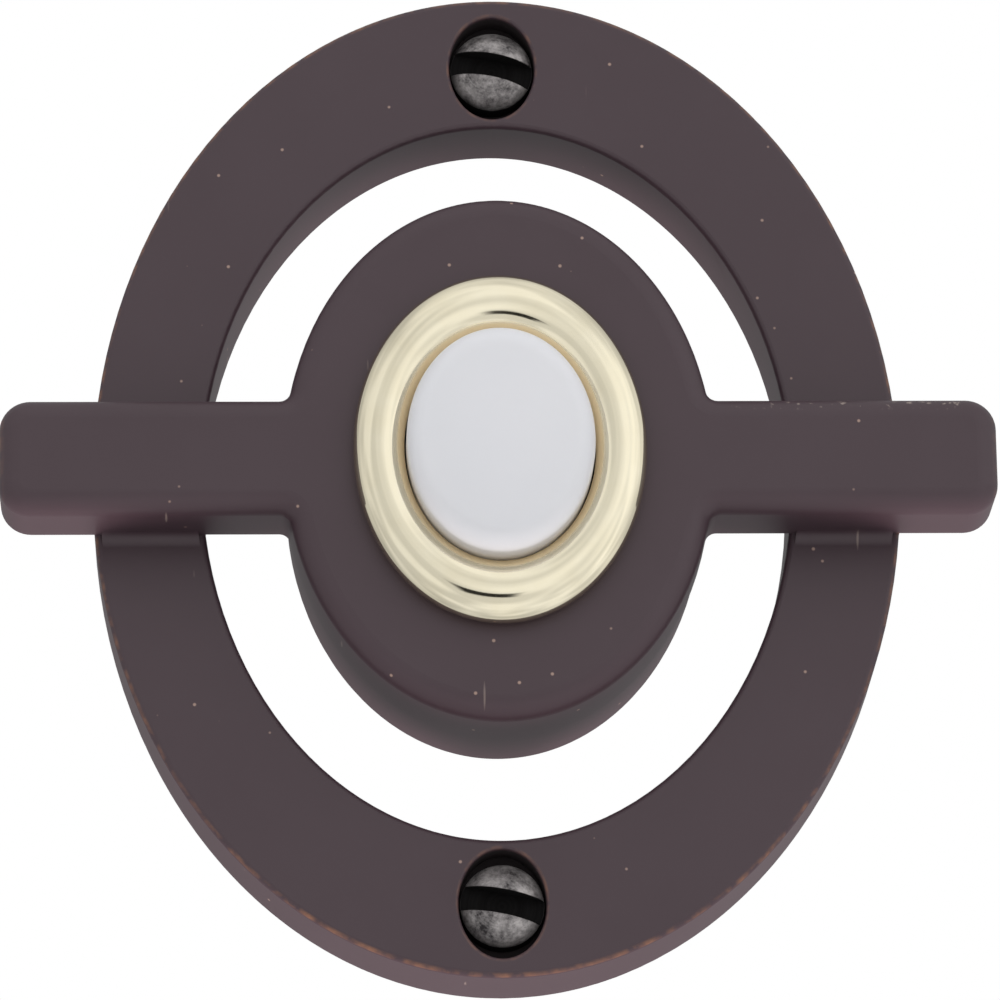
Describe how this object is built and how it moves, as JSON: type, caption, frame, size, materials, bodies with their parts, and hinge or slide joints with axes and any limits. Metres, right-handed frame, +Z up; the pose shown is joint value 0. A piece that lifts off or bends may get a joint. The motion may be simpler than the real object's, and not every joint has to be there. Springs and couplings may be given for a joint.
{
  "type": "doorbell push button",
  "caption": "Oval ring plate with a crossbar and a central hub, holding a sprung push button in an oval brass bezel, fixed to the wall by slotted screws.",
  "frame": {"origin": "centre of the plate's back, on the wall plane", "axes": "+Y into the wall, -Y towards the visitor, +Z up, +X to the right as seen from the front"},
  "size_m": [0.0776, 0.0301, 0.0804],
  "materials": {
    "plate_finish": "satin dark bronze finish",
    "polished_brass": "polished and lacquered",
    "screw_metal": "dark plated, worn bright on the dome",
    "cap_plastic": "translucent white moulding",
    "plunger_plastic": "natural white moulding",
    "housing_plastic": "black moulding",
    "base_plastic": "brown phenolic moulding",
    "zinc_plate": "bright zinc plate",
    "spring_steel": "bright drawn wire",
    "contact_brass": "rolled strip",
    "terminal_brass": "turned",
    "lamp_epoxy": "clear moulding",
    "tinned_wire": "tinned",
    "resistor_body": "dipped tan coating"
  },
  "bodies": {
    "body": {"plate": "plate_finish", "upper_screw": "screw_metal", "lower_screw": "screw_metal", "bezel": "polished_brass", "switch_housing": "housing_plastic", "lock_washer": "zinc_plate", "lock_nut": "zinc_plate", "return_spring": "spring_steel", "left_contact": "contact_brass", "right_contact": "contact_brass", "terminal_base": "base_plastic", "left_terminal_screw": "terminal_brass", "right_terminal_screw": "terminal_brass", "left_clamp_washer": "terminal_brass", "right_clamp_washer": "terminal_brass", "lamp": "lamp_epoxy", "left_lamp_lead": "tinned_wire", "right_lamp_lead": "tinned_wire", "lamp_resistor": "resistor_body"},
    "button": {"button_cap": "cap_plastic", "plunger": "plunger_plastic", "contact_ring": "contact_brass", "push_ring": "spring_steel"}
  },
  "joints": [
    {"name": "button_press", "type": "slide", "parent": "body", "child": "button", "axis": [0, 1, 0], "range_m": [0, 0.0013], "stiffness_N_per_m": 360, "springref_m": -0.0038, "deforming": ["return_spring"]}
  ]
}
